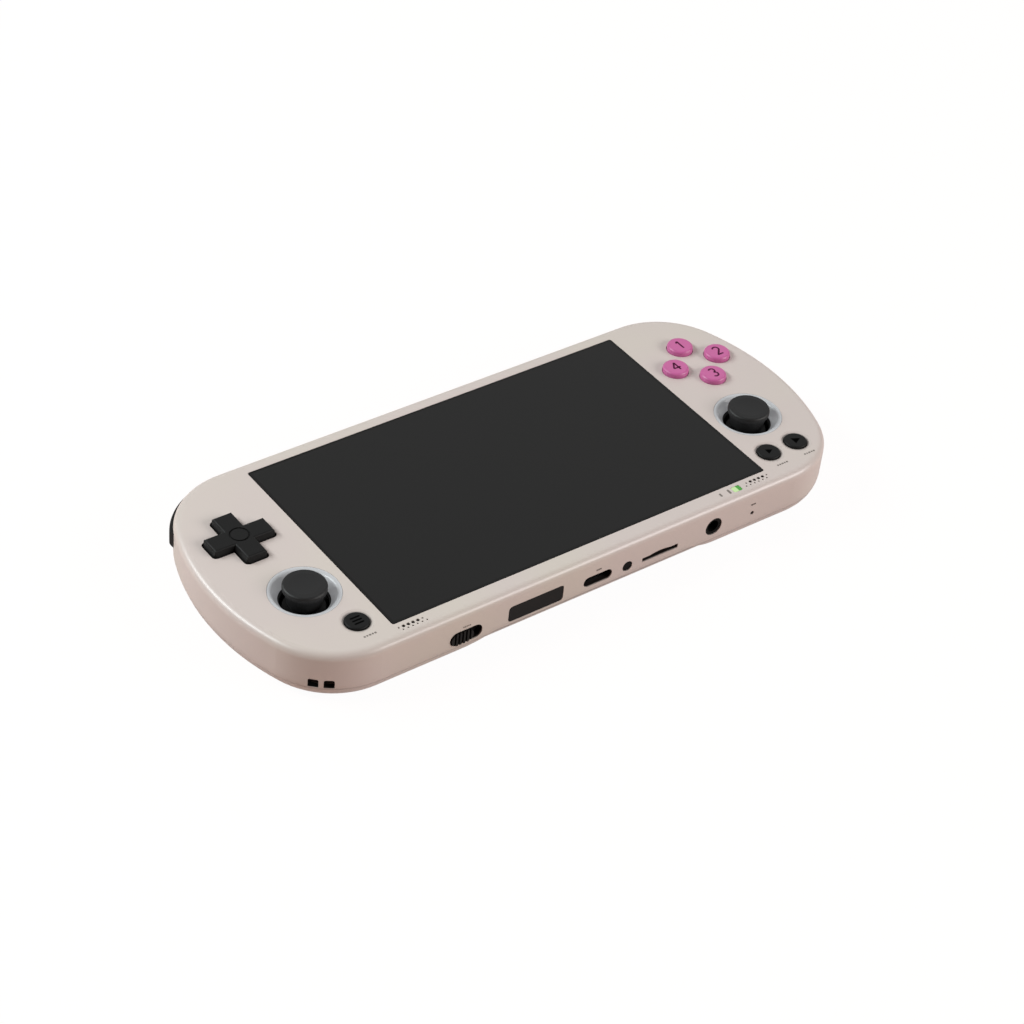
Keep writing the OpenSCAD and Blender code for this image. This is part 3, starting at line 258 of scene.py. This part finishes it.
def moulded_group():
    """Moulded plastic: two near colours mixed in broad clouds, times one plus a cloudy and speckled noise,
    roughness plus a patchy noise, and a fine noise as height."""
    group, start, end = new_group(
        "moulded_surface",
        [
            ("Colour", "NodeSocketColor", (0.5, 0.5, 0.5, 1.0)),
            ("Second Colour", "NodeSocketColor", (0.5, 0.5, 0.5, 1.0)),
            ("Variation", "NodeSocketFloat", 0.03),
            ("Roughness", "NodeSocketFloat", 0.45),
            ("Roughness Spread", "NodeSocketFloat", 0.06),
            ("Grain Scale", "NodeSocketFloat", 4000.0),
        ],
        [("Colour", "NodeSocketColor"), ("Roughness", "NodeSocketFloat"), ("Height", "NodeSocketFloat")],
    )
    place = group.nodes.new("ShaderNodeTexCoord").outputs["Object"]
    cloud = noise_node(group, place, 45.0, 3.0)
    speck = noise_node(group, place, 1500.0, 1.0)
    patch = noise_node(group, place, 160.0, 4.0)
    grain = noise_node(group, place, start.outputs["Grain Scale"], 2.0)
    broad = noise_node(group, place, 28.0, 1.0)
    blend = math_node(group, "MULTIPLY_ADD", speck, 0.35, math_node(group, "MULTIPLY", cloud, 0.65))
    shade = math_node(group, "MULTIPLY", math_node(group, "SUBTRACT", blend, 0.5), 2.0)
    factor = math_node(group, "MULTIPLY_ADD", shade, start.outputs["Variation"], 1.0)
    base = mix_node(group, ramp_node(group, broad, 0.4, 0.6), start.outputs["Colour"],
                    start.outputs["Second Colour"])
    tint = group.nodes.new("ShaderNodeVectorMath")
    tint.operation = "SCALE"
    group.links.new(base, tint.inputs[0])
    group.links.new(factor, tint.inputs["Scale"])
    group.links.new(tint.outputs["Vector"], end.inputs["Colour"])
    swing = math_node(group, "MULTIPLY", math_node(group, "SUBTRACT", patch, 0.5), 2.0)
    rough = math_node(group, "MULTIPLY_ADD", swing, start.outputs["Roughness Spread"],
                      start.outputs["Roughness"])
    group.links.new(rough, end.inputs["Roughness"])
    group.links.new(grain, end.inputs["Height"])
    return group


MOULDED = moulded_group()


def inside_shade_group():
    """Mask for the painted shade inside the case: how deep a point above the seam lies inside it, 0 on the
    outer faces, 1 a little below them.
    The plan depth is the least of the distances to the long edges, the end arcs and the corner arcs
    (counted only in their sectors). It joins the depth below the front face as in a rounded edge: edge
    radius less the root of the squares of what each depth lacks to that radius."""
    group, _, end = new_group("case_inside_shade", [], [("Inside", "NodeSocketFloat")])
    low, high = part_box("front_shell")
    half_l = (high.x - low.x) / 2
    half_w = (high.y - low.y) / 2
    end_x = half_l - END_R
    middle_y = (low.y + high.y) / 2
    _, part = place_nodes(group)
    x = math_node(group, "ABSOLUTE", part["X"])
    y = math_node(group, "ABSOLUTE", math_node(group, "SUBTRACT", part["Y"], middle_y))
    z = part["Z"]
    to_edge = math_node(group, "SUBTRACT", half_w, y)
    from_end = length_node(group, math_node(group, "SUBTRACT", x, end_x), y)
    to_end = math_node(group, "SUBTRACT", END_R, from_end)
    u = math_node(group, "SUBTRACT", x, end_x + ARC_RUN * (END_R - CORNER_R))
    v = math_node(group, "SUBTRACT", y, half_w - CORNER_R)
    divide = math_node(group, "MULTIPLY", u, ARC_RISE / ARC_RUN)
    in_sector = math_node(group, "MULTIPLY", math_node(group, "GREATER_THAN", u, 0.0),
                          math_node(group, "GREATER_THAN", v, divide))
    to_corner = math_node(group, "SUBTRACT", CORNER_R, length_node(group, u, v))
    to_corner = math_node(group, "ADD", to_corner, math_node(group, "SUBTRACT", 1.0, in_sector))
    to_side = math_node(group, "MINIMUM", math_node(group, "MINIMUM", to_edge, to_end), to_corner)
    to_face = math_node(group, "SUBTRACT", high.z, z)
    lacks = [math_node(group, "MAXIMUM", math_node(group, "SUBTRACT", FRONT_EDGE_R, depth), 0.0)
             for depth in (to_side, to_face)]
    depth = math_node(group, "SUBTRACT", FRONT_EDGE_R, length_node(group, *lacks))
    fade = ramp_node(group, depth, INSIDE_FROM, INSIDE_FULL)
    above = math_node(group, "GREATER_THAN", z, SEAM_Z)
    group.links.new(math_node(group, "MULTIPLY", fade, above), end.inputs["Inside"])
    return group


# Materials

def blank_material(name):
    """A material with only its Principled shader and output; returns it with the shader."""
    material = bpy.data.materials.new(name)
    material.use_nodes = True
    return material, material.node_tree.nodes["Principled BSDF"]


def moulded(name, colour, rough, variation=0.03, spread=0.05, grain=4000.0, depth=0.012 * MM, bump=0.35,
            second=None, gloss=0.5):
    """Moulded plastic or rubber: the shared surface group on a Principled shader."""
    material, shader = blank_material(name)
    tree = material.node_tree
    surface = tree.nodes.new("ShaderNodeGroup")
    surface.node_tree = MOULDED
    surface.inputs["Colour"].default_value = (*colour, 1.0)
    surface.inputs["Second Colour"].default_value = (*(second or colour), 1.0)
    surface.inputs["Variation"].default_value = variation
    surface.inputs["Roughness"].default_value = rough
    surface.inputs["Roughness Spread"].default_value = spread
    surface.inputs["Grain Scale"].default_value = grain
    relief = tree.nodes.new("ShaderNodeBump")
    relief.inputs["Strength"].default_value = bump
    relief.inputs["Distance"].default_value = depth
    tree.links.new(surface.outputs["Colour"], shader.inputs["Base Color"])
    tree.links.new(surface.outputs["Roughness"], shader.inputs["Roughness"])
    tree.links.new(surface.outputs["Height"], relief.inputs["Height"])
    tree.links.new(relief.outputs["Normal"], shader.inputs["Normal"])
    shader.inputs["Specular IOR Level"].default_value = gloss
    return material


def metal(name, colour, rough):
    """Plain worked metal: the shared surface group with Metallic at one."""
    material = moulded(name, colour, rough, variation=0.06, spread=0.08, grain=2500.0, depth=0.006 * MM,
                       bump=0.25)
    material.node_tree.nodes["Principled BSDF"].inputs["Metallic"].default_value = 1.0
    return material


def shell_finish():
    """Matt sand plastic with painted shade on the inside of the case: its colour falls to near black a
    little below the outer faces, so that openings and gaps read as deep.
    """
    material = moulded("shell_plastic", SAND, 0.40, variation=0.02, grain=4500.0, depth=0.010 * MM, bump=0.3,
                       second=ROSE_SAND)
    tree = material.node_tree
    shader = tree.nodes["Principled BSDF"]
    surface = shader.inputs["Base Color"].links[0].from_socket
    inside = tree.nodes.new("ShaderNodeGroup")
    inside.node_tree = inside_shade_group()
    # Painted shade: near black mixed into the sand colour by the inside mask
    painted_inside_shade = mix_node(tree, inside.outputs["Inside"], surface, PAINTED_SHADE)
    tree.links.new(painted_inside_shade, shader.inputs["Base Color"])
    shader.inputs["Coat Weight"].default_value = 0.5
    shader.inputs["Coat Roughness"].default_value = 0.32
    return material


def cover_glass():
    """Dark cover glass: black round the rim, the switched-off display a little lighter inside it.
    The mask is the larger of the distances past the display's half length and half width."""
    material, shader = blank_material("cover_glass")
    tree = material.node_tree
    low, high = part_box("screen_glass")
    place, part = place_nodes(tree)
    past = []
    for axis in (0, 1):
        middle = (low[axis] + high[axis]) / 2
        half = (high[axis] - low[axis]) / 2 - RIM_W
        reach = math_node(tree, "ABSOLUTE", math_node(tree, "SUBTRACT", part[axis], middle))
        past.append(math_node(tree, "SUBTRACT", reach, half))
    edge = ramp_node(tree, math_node(tree, "MAXIMUM", *past), -RIM_SOFT, RIM_SOFT)
    tree.links.new(mix_node(tree, edge, DISPLAY_OFF, GLASS_RIM), shader.inputs["Base Color"])
    smear = noise_node(tree, place, 30.0, 4.0)
    tree.links.new(math_node(tree, "MULTIPLY_ADD", smear, 0.06, 0.07), shader.inputs["Roughness"])
    shader.inputs["Specular IOR Level"].default_value = 0.2
    return material


def status_light():
    """Clear light pipe in two parts along X: a pale lit one and a narrower saturated green one."""
    material, shader = blank_material("status_light")
    tree = material.node_tree
    middle = centre_of("light_pipe")[0]
    place, part = place_nodes(tree)
    side = ramp_node(tree, part["X"], middle + PALE_END, middle + GREEN_START)
    colour = mix_node(tree, side, LIT_PALE, LIT_GREEN)
    tree.links.new(colour, shader.inputs["Base Color"])
    tree.links.new(colour, shader.inputs["Emission Color"])
    haze = noise_node(tree, place, 900.0, 2.0)
    tree.links.new(math_node(tree, "MULTIPLY_ADD", haze, 0.1, 0.2), shader.inputs["Roughness"])
    shader.inputs["Emission Strength"].default_value = LIGHT_GLOW
    return material


def ring_with_painted_glow():
    """Milky light guide: pale plastic with a faint even glow, painted light in its own colour that lifts the
    shade on the ring's inner side.
    """
    material = moulded("ring_plastic", PALE, 0.30, variation=0.02, grain=4200.0, depth=0.006 * MM, bump=0.2)
    shader = material.node_tree.nodes["Principled BSDF"]
    shader.inputs["Emission Color"].default_value = (*PALE, 1.0)
    shader.inputs["Emission Strength"].default_value = PAINTED_RING_GLOW
    return material


shell_plastic = shell_finish()
black_plastic = moulded("black_plastic", BLACK, 0.45, variation=0.12, spread=0.06, grain=3800.0,
                        depth=0.014 * MM, bump=0.4, gloss=0.11)
stick_rubber = moulded("stick_rubber", STICK_BLACK, 0.5, variation=0.12, spread=0.06, grain=2600.0,
                       depth=0.02 * MM, bump=0.5, gloss=0.35)
button_plastic = moulded("button_plastic", PINK, 0.36, variation=0.05, grain=4200.0, depth=0.01 * MM,
                         bump=0.3)
ring_plastic = ring_with_painted_glow()
silicone = moulded("silicone", RUBBER_GREY, 0.6)
board_mask = moulded("board_mask", BOARD_GREEN, 0.4, variation=0.2, spread=0.1, grain=900.0)
pouch_film = moulded("pouch_film", POUCH_GREY, 0.35, variation=0.08, spread=0.1, grain=300.0,
                     depth=0.05 * MM, bump=0.3)
# Black for the jack, speakers, shoulder switches and sensor window: their own black plus painted shade in
# their holes
black_and_cavity_shade = moulded("black_and_cavity_shade", CAVITY_SHADE_BLACK, 0.6, gloss=0.1)
socket_black = moulded("socket_black", SOCKET_BLACK, 0.55, gloss=0.25)
steel = metal("steel", STEEL_GREY, 0.32)
# Steel of the switch and the USB and card sockets darkened to near black: painted shade of the openings they
# sit behind
shaded_steel = metal("shaded_steel", SHADED_METAL, 0.4)
gold = metal("gold", GOLD_YELLOW, 0.3)
print_on_sand = moulded("print_on_sand", INK_ON_SAND, 0.6, variation=0.1)
print_on_pink = moulded("print_on_pink", INK_ON_PINK, 0.5, variation=0.1, gloss=0.1)
print_on_black = moulded("print_on_black", INK_ON_BLACK, 0.6, variation=0.1, gloss=0.0)

FINISHES = [
    (shell_plastic, ["front_shell", "rear_shell", "power_button", "volume_down", "volume_up"]),
    (cover_glass(), ["screen_glass", "display_panel"]),
    (black_plastic, ["direction_pad", "menu_button", "select_button", "start_button", "shoulder_left",
                     "shoulder_right", "trigger_left", "trigger_right", "switch_knob", "port_cover"]),
    (black_and_cavity_shade, ["audio_jack", "speaker_left", "speaker_right", "shoulder_switches", "sensor_window"]),
    (socket_black, ["stick_housing_left", "stick_housing_right", "stick_gimbal_left",
                    "stick_gimbal_right"]),
    (stick_rubber, ["stick_left", "stick_right"]),
    (button_plastic, ["face_button_top", "face_button_right", "face_button_bottom", "face_button_left"]),
    (ring_plastic, ["stick_ring_left", "stick_ring_right", "pad_pivot"]),
    (silicone, ["pad_membrane", "face_membrane", "menu_membrane", "system_membrane"]),
    (board_mask, ["main_board", "control_board_left", "control_board_right", "key_strip"]),
    (pouch_film, ["battery"]),
    (steel, ["shield_plate", "hinge_pins", "vibration_motor", "screws"]),
    (shaded_steel, ["switch_body", "usb_socket", "card_socket"]),
    (status_light(), ["light_pipe"]),
]
for finish, names in FINISHES:
    for name in names:
        nodes[name].data.materials.clear()
        nodes[name].data.materials.append(finish)


# Pieces made as surfaces

def piece(name, mesh, material, body):
    """Puts a finished mesh into the scene on its body."""
    mesh.materials.append(material)
    made = bpy.data.objects.new(name, mesh)
    bpy.context.scene.collection.objects.link(made)
    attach(made, body)
    return made


def grid_mesh(name, grids, closed=False):
    """One surface over each grid of points, a quad between each four neighbours; closed joins the last
    column to the first. Points that coincide are merged, and the faces turned outwards."""
    points, quads, start = [], [], 0
    for grid in grids:
        rows, columns = grid.shape[:2]
        index = start + np.arange(rows * columns).reshape(rows, columns)
        start += rows * columns
        if closed:
            index = np.hstack([index, index[:, :1]])
        corners = [index[:-1, :-1], index[:-1, 1:], index[1:, 1:], index[1:, :-1]]
        points.append(grid.reshape(-1, 3))
        quads.append(np.stack(corners, -1).reshape(-1, 4))
    mesh = bpy.data.meshes.new(name)
    mesh.from_pydata(np.concatenate(points).tolist(), [], np.concatenate(quads).tolist())
    work = bmesh.new()
    work.from_mesh(mesh)
    bmesh.ops.remove_doubles(work, verts=work.verts, dist=MERGE_DISTANCE)
    bmesh.ops.recalc_face_normals(work, faces=work.faces)
    work.to_mesh(mesh)
    work.free()
    return mesh


def stroke(points, width):
    """A line of even width with round ends, as middle points and half widths: points are spread along the
    path by its length, and over each end the half width follows a half circle."""
    path = np.array(points, float)
    run = np.concatenate([[0.0], np.cumsum(np.hypot(*np.diff(path, axis=0).T))])
    radius = width / 2
    turn = np.linspace(0, math.pi / 2, END_STEPS)
    middle = np.linspace(radius, run[-1] - radius, 2 * len(path))[1:-1]
    at = np.concatenate([radius - radius * np.cos(turn), middle, run[-1] - radius + radius * np.sin(turn)])
    half = np.concatenate([radius * np.sin(turn), np.full(len(middle), radius), radius * np.cos(turn)])
    return np.column_stack([np.interp(at, run, path[:, 0]), np.interp(at, run, path[:, 1])]), half


def dash(length, width, shift=0.0, rise=0.0):
    """A straight stroke, its middle moved along by shift and up by rise."""
    return stroke([(shift - length / 2, rise), (shift + length / 2, rise)], width)


def arrow(length, width):
    """A triangle that points along the mark: its half width opens at the base, just past the tail, and
    falls evenly to nothing at the tip."""
    tail, base, tip = -0.334 * length, -0.333 * length, 0.667 * length
    return np.array([(tail, 0), (base, 0), (tip, 0)]), np.array([0, width / 2, 0])


def word(length, width):
    """A row of short dashes of uneven length that stands for a small printed word."""
    shares = np.array(WORD_DASHES)
    ends = np.cumsum(np.column_stack([shares, np.full(len(shares), WORD_GAP)]).ravel())
    unit = length / ends[-2]
    middles = (ends[0::2] - shares / 2) * unit - length / 2
    return [dash(share * unit, width, middle) for share, middle in zip(shares, middles)]


def bow(rise, radius, start, end):
    """Points of an arc about a point above or below the middle, from one angle to another in degrees."""
    turn = np.radians(np.linspace(start, end, BOW_STEPS))
    return [(radius * math.cos(a), rise + radius * math.sin(a)) for a in turn]


# Strokes of the figures, in shares of the height
FIGURE_LINES = {
    "1": [[(0.0, 0.5), (0.0, -0.5)], [(0.0, 0.5), (-0.22, 0.3)]],
    "2": [bow(0.23, 0.27, 160, -40) + [(-0.28, -0.5)], [(-0.28, -0.46), (0.28, -0.46)]],
    "3": [bow(0.25, 0.25, 150, -90), bow(-0.245, 0.255, 90, -150)],
    "4": [[(0.12, 0.5), (-0.34, -0.18)], [(-0.34, -0.18), (0.34, -0.18)], [(0.12, 0.5), (0.12, -0.5)]],
}


def figure(text, height, width):
    """A plain figure as strokes."""
    return [stroke(height * np.array(line), width) for line in FIGURE_LINES[text]]


def printed(name, strokes, at, along, up, material, body):
    """Flat marks on a face: each stroke becomes a thin slab, half sunk in the face. Its sides lie half a
    width to each side of its middle line. along and up are unit directions in the face; their cross
    product points out of it."""
    along, up = np.array(along, float), np.array(up, float)
    out = np.cross(along, up)
    section = np.array([(1, PRINT_LIFT), (-1, PRINT_LIFT), (-1, PRINT_LIFT - PRINT_DEPTH),
                        (1, PRINT_LIFT - PRINT_DEPTH)])
    grids = []
    for line, half in strokes:
        way = np.gradient(line, axis=0)
        way /= np.linalg.norm(way, axis=1, keepdims=True)
        across = np.column_stack([-way[:, 1], way[:, 0]])
        flat = line[:, None] + (half[:, None] * section[:, 0])[..., None] * across[:, None]
        lift = np.broadcast_to(section[:, 1], flat.shape[:2])
        grids.append(np.array(at) + flat[..., :1] * along + flat[..., 1:] * up + lift[..., None] * out)
    piece(name, grid_mesh(name, grids, closed=True), material, body)


def screw_heads():
    """Case screws with a cross recess: one profile turned about each screw's axis, from the middle of the
    head over its rounded rim and under it to the shank's tip. The recess lowers the head by a smooth step
    that falls off with the distance from the nearer arm of the cross and towards the ends of the arms."""
    low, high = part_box("screws")
    seat = low.z + HEAD_T
    inner = np.linspace(0, HEAD_R - HEAD_EDGE_R, HEAD_RINGS)
    turn = np.linspace(0, math.pi / 2, RIM_STEPS)[1:]
    radius = np.concatenate([inner, HEAD_R - HEAD_EDGE_R + HEAD_EDGE_R * np.sin(turn),
                             [HEAD_R, SHANK_R, SHANK_R, 0.0]])
    height = np.concatenate([np.full(HEAD_RINGS, low.z), low.z + HEAD_EDGE_R * (1 - np.cos(turn)),
                             [seat, seat, high.z - SHANK_R, high.z]])
    around = np.linspace(0, 2 * math.pi, SCREW_STEPS, endpoint=False)
    x = radius[:, None] * np.cos(around)
    y = radius[:, None] * np.sin(around)
    arm = np.clip((RECESS_W - np.minimum(abs(x), abs(y))) / (ARM_SLOPE * RECESS_W), 0, 1)
    tip = np.clip((RECESS_R - np.hypot(x, y)) / (TIP_SLOPE * RECESS_R), 0, 1)
    recess = RECESS_DEPTH * arm * tip
    recess[HEAD_RINGS:] = 0
    z = height[:, None] + recess
    grids = [np.stack([x + at_x, y + at_y, z], -1) for at_x, at_y in SCREW_SPOTS]
    made = piece("screw_set", grid_mesh("screw_set", grids, closed=True), steel, "case")
    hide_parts("screws")


face_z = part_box("screen_glass")[1].z
port_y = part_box("front_shell")[0].y

# Figures on the face buttons
FIGURES = {"top": "1", "right": "2", "bottom": "3", "left": "4"}
for where, text in FIGURES.items():
    button = "face_button_" + where
    printed("figure_" + where, figure(text, FIGURE_H, FIGURE_W), centre_of(button), EAST, NORTH,
            print_on_pink, button)

# Small printed words below the three small buttons
for name in ("menu", "select", "start"):
    x, y, _ = centre_of(name + "_button")
    printed(name + "_label", word(LABEL_L, LABEL_W), (x, y - LABEL_DROP, face_z), EAST, NORTH,
            print_on_sand, "case")

# Marks on the three small buttons
SMALL_MARKS = {
    "menu": [dash(BAR_L, BAR_W, rise=row * BAR_STEP) for row in (-1, 0, 1)],
    "select": [arrow(*SELECT_ARROW)],
    "start": [arrow(*START_ARROW)],
}
for name, strokes in SMALL_MARKS.items():
    button = name + "_button"
    printed(name + "_mark", strokes, centre_of(button), EAST, NORTH, print_on_black, button)

# Small marks beside the status light and on the port wall
light_x, light_y, _ = centre_of("light_pipe")
light_strokes = [dash(length, width, rise=away) for length, width, away in LIGHT_MARKS]
printed("light_marks", light_strokes, (light_x, light_y, face_z), NORTH, WEST, print_on_sand, "case")
PORT_MARKS = {
    "switch_label": (centre_of("switch_body")[0], SWITCH_LABEL_Z, SWITCH_LABEL_L),
    "usb_label": (centre_of("usb_socket")[0], PORT_LABEL_Z, PORT_LABEL_L),
    "microphone_label": (MICROPHONE_X, PORT_LABEL_Z, PORT_LABEL_L),
}
for name, (x, z, length) in PORT_MARKS.items():
    printed(name, word(length, PORT_LABEL_W), (x, port_y, z), EAST, UP, print_on_sand, "case")

# Contacts on the tongue of the USB-C socket
low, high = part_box("usb_socket")
tongue = ((low.x + high.x) / 2, low.y + TONGUE_SETBACK, (low.z + high.z + TONGUE_T) / 2)
contacts = [dash(CONTACT_L, CONTACT_W, rise=(i - (CONTACTS - 1) / 2) * CONTACT_PITCH)
            for i in range(CONTACTS)]
printed("usb_contacts", contacts, tongue, NORTH, WEST, gold, "case")

screw_heads()


# Camera, floor and light

camera_data = bpy.data.cameras.new("camera")
camera_data.lens = CAMERA_LENS
camera_data.sensor_width = CAMERA_SENSOR
camera_data.clip_start = CAMERA_NEAR
camera_data.clip_end = CAMERA_FAR
camera = bpy.data.objects.new("camera", camera_data)
camera.location = CAMERA_AT
camera.rotation_euler = Euler([math.radians(a) for a in CAMERA_TURN])
bpy.context.scene.collection.objects.link(camera)
bpy.context.scene.camera = camera


def floor():
    """A wide pale plane that lifts towards white for the camera and, less, in reflections; it keeps the
    shadow. The share of its glow is the camera's or the reflected share, by the kind of ray."""
    ends = (-FLOOR_REACH, FLOOR_REACH)
    corners = np.array([[[x, y, 0] for y in ends] for x in ends])
    mesh = grid_mesh("floor", [corners])
    material = bpy.data.materials.new("floor_paper")
    material.use_nodes = True
    tree = material.node_tree
    tree.nodes.clear()
    paper = tree.nodes.new("ShaderNodeBsdfDiffuse")
    paper.inputs["Color"].default_value = (*PAPER, 1.0)
    glow = tree.nodes.new("ShaderNodeEmission")
    glow.inputs["Strength"].default_value = FLOOR_GLOW
    rays = tree.nodes.new("ShaderNodeLightPath")
    mirrored = math_node(tree, "ADD", rays.outputs["Is Glossy Ray"], rays.outputs["Is Transmission Ray"])
    share = math_node(tree, "MULTIPLY_ADD", rays.outputs["Is Camera Ray"], CAMERA_SHARE,
                      math_node(tree, "MULTIPLY", mirrored, REFLECTED_SHARE))
    mix = tree.nodes.new("ShaderNodeMixShader")
    out = tree.nodes.new("ShaderNodeOutputMaterial")
    tree.links.new(share, mix.inputs[0])
    tree.links.new(paper.outputs[0], mix.inputs[1])
    tree.links.new(glow.outputs[0], mix.inputs[2])
    tree.links.new(mix.outputs[0], out.inputs["Surface"])
    mesh.materials.append(material)
    made = bpy.data.objects.new("floor", mesh)
    bpy.context.scene.collection.objects.link(made)


def softbox(name, at, long_way, size, power, colour):
    """A rectangular lamp that faces the middle of the object; its longer side runs along long_way."""
    data = bpy.data.lights.new(name, "AREA")
    data.shape = "RECTANGLE"
    data.size, data.size_y = size
    data.energy = power
    data.color = colour
    back = Vector(at).normalized()
    side = Vector(long_way)
    side = (side - side.dot(back) * back).normalized()
    turn = Matrix((side, back.cross(side), back)).transposed()
    lamp = bpy.data.objects.new(name, data)
    lamp.matrix_world = Matrix.Translation(at) @ turn.to_4x4()
    bpy.context.scene.collection.objects.link(lamp)


def toward(tree, place, side, cosines, first, second):
    """A mix of two tones by the cosine between a direction and a side: the first tone up to the lower of
    two cosines, the second from the upper one on."""
    cosine = tree.nodes.new("ShaderNodeVectorMath")
    cosine.operation = "DOT_PRODUCT"
    cosine.inputs[1].default_value = side
    tree.links.new(place, cosine.inputs[0])
    return mix_node(tree, ramp_node(tree, cosine.outputs["Value"], *cosines), first, second)


def studio():
    """Even pale surroundings that fall off to a dim warm tone round one near side of the object and rise
    to a bright patch high behind it."""
    world = bpy.data.worlds.new("studio")
    world.use_nodes = True
    tree = world.node_tree
    place = tree.nodes.new("ShaderNodeTexCoord").outputs["Generated"]
    dimmed = toward(tree, place, DIM_SIDE, DIM_RANGE, ROOM_TONE, DIM_TONE)
    lit = toward(tree, place, BRIGHT_SIDE, BRIGHT_RANGE, dimmed, BRIGHT_TONE)
    tree.links.new(lit, tree.nodes["Background"].inputs["Color"])
    bpy.context.scene.world = world


floor()
softbox("key_softbox", at=(-0.85, 0.65, 0.82), long_way=(0.35, 0.69, -0.37), size=(1.0, 0.36), power=16.5,
        colour=(0.94, 1.0, 1.0))
softbox("edge_softbox", at=(1.17, -1.39, 0.84), long_way=(0.77, 0.64, 0.0), size=(1.2, 0.7), power=26.0,
        colour=(1.0, 0.98, 0.96))
studio()
bpy.context.scene.view_settings.view_transform = "Standard"
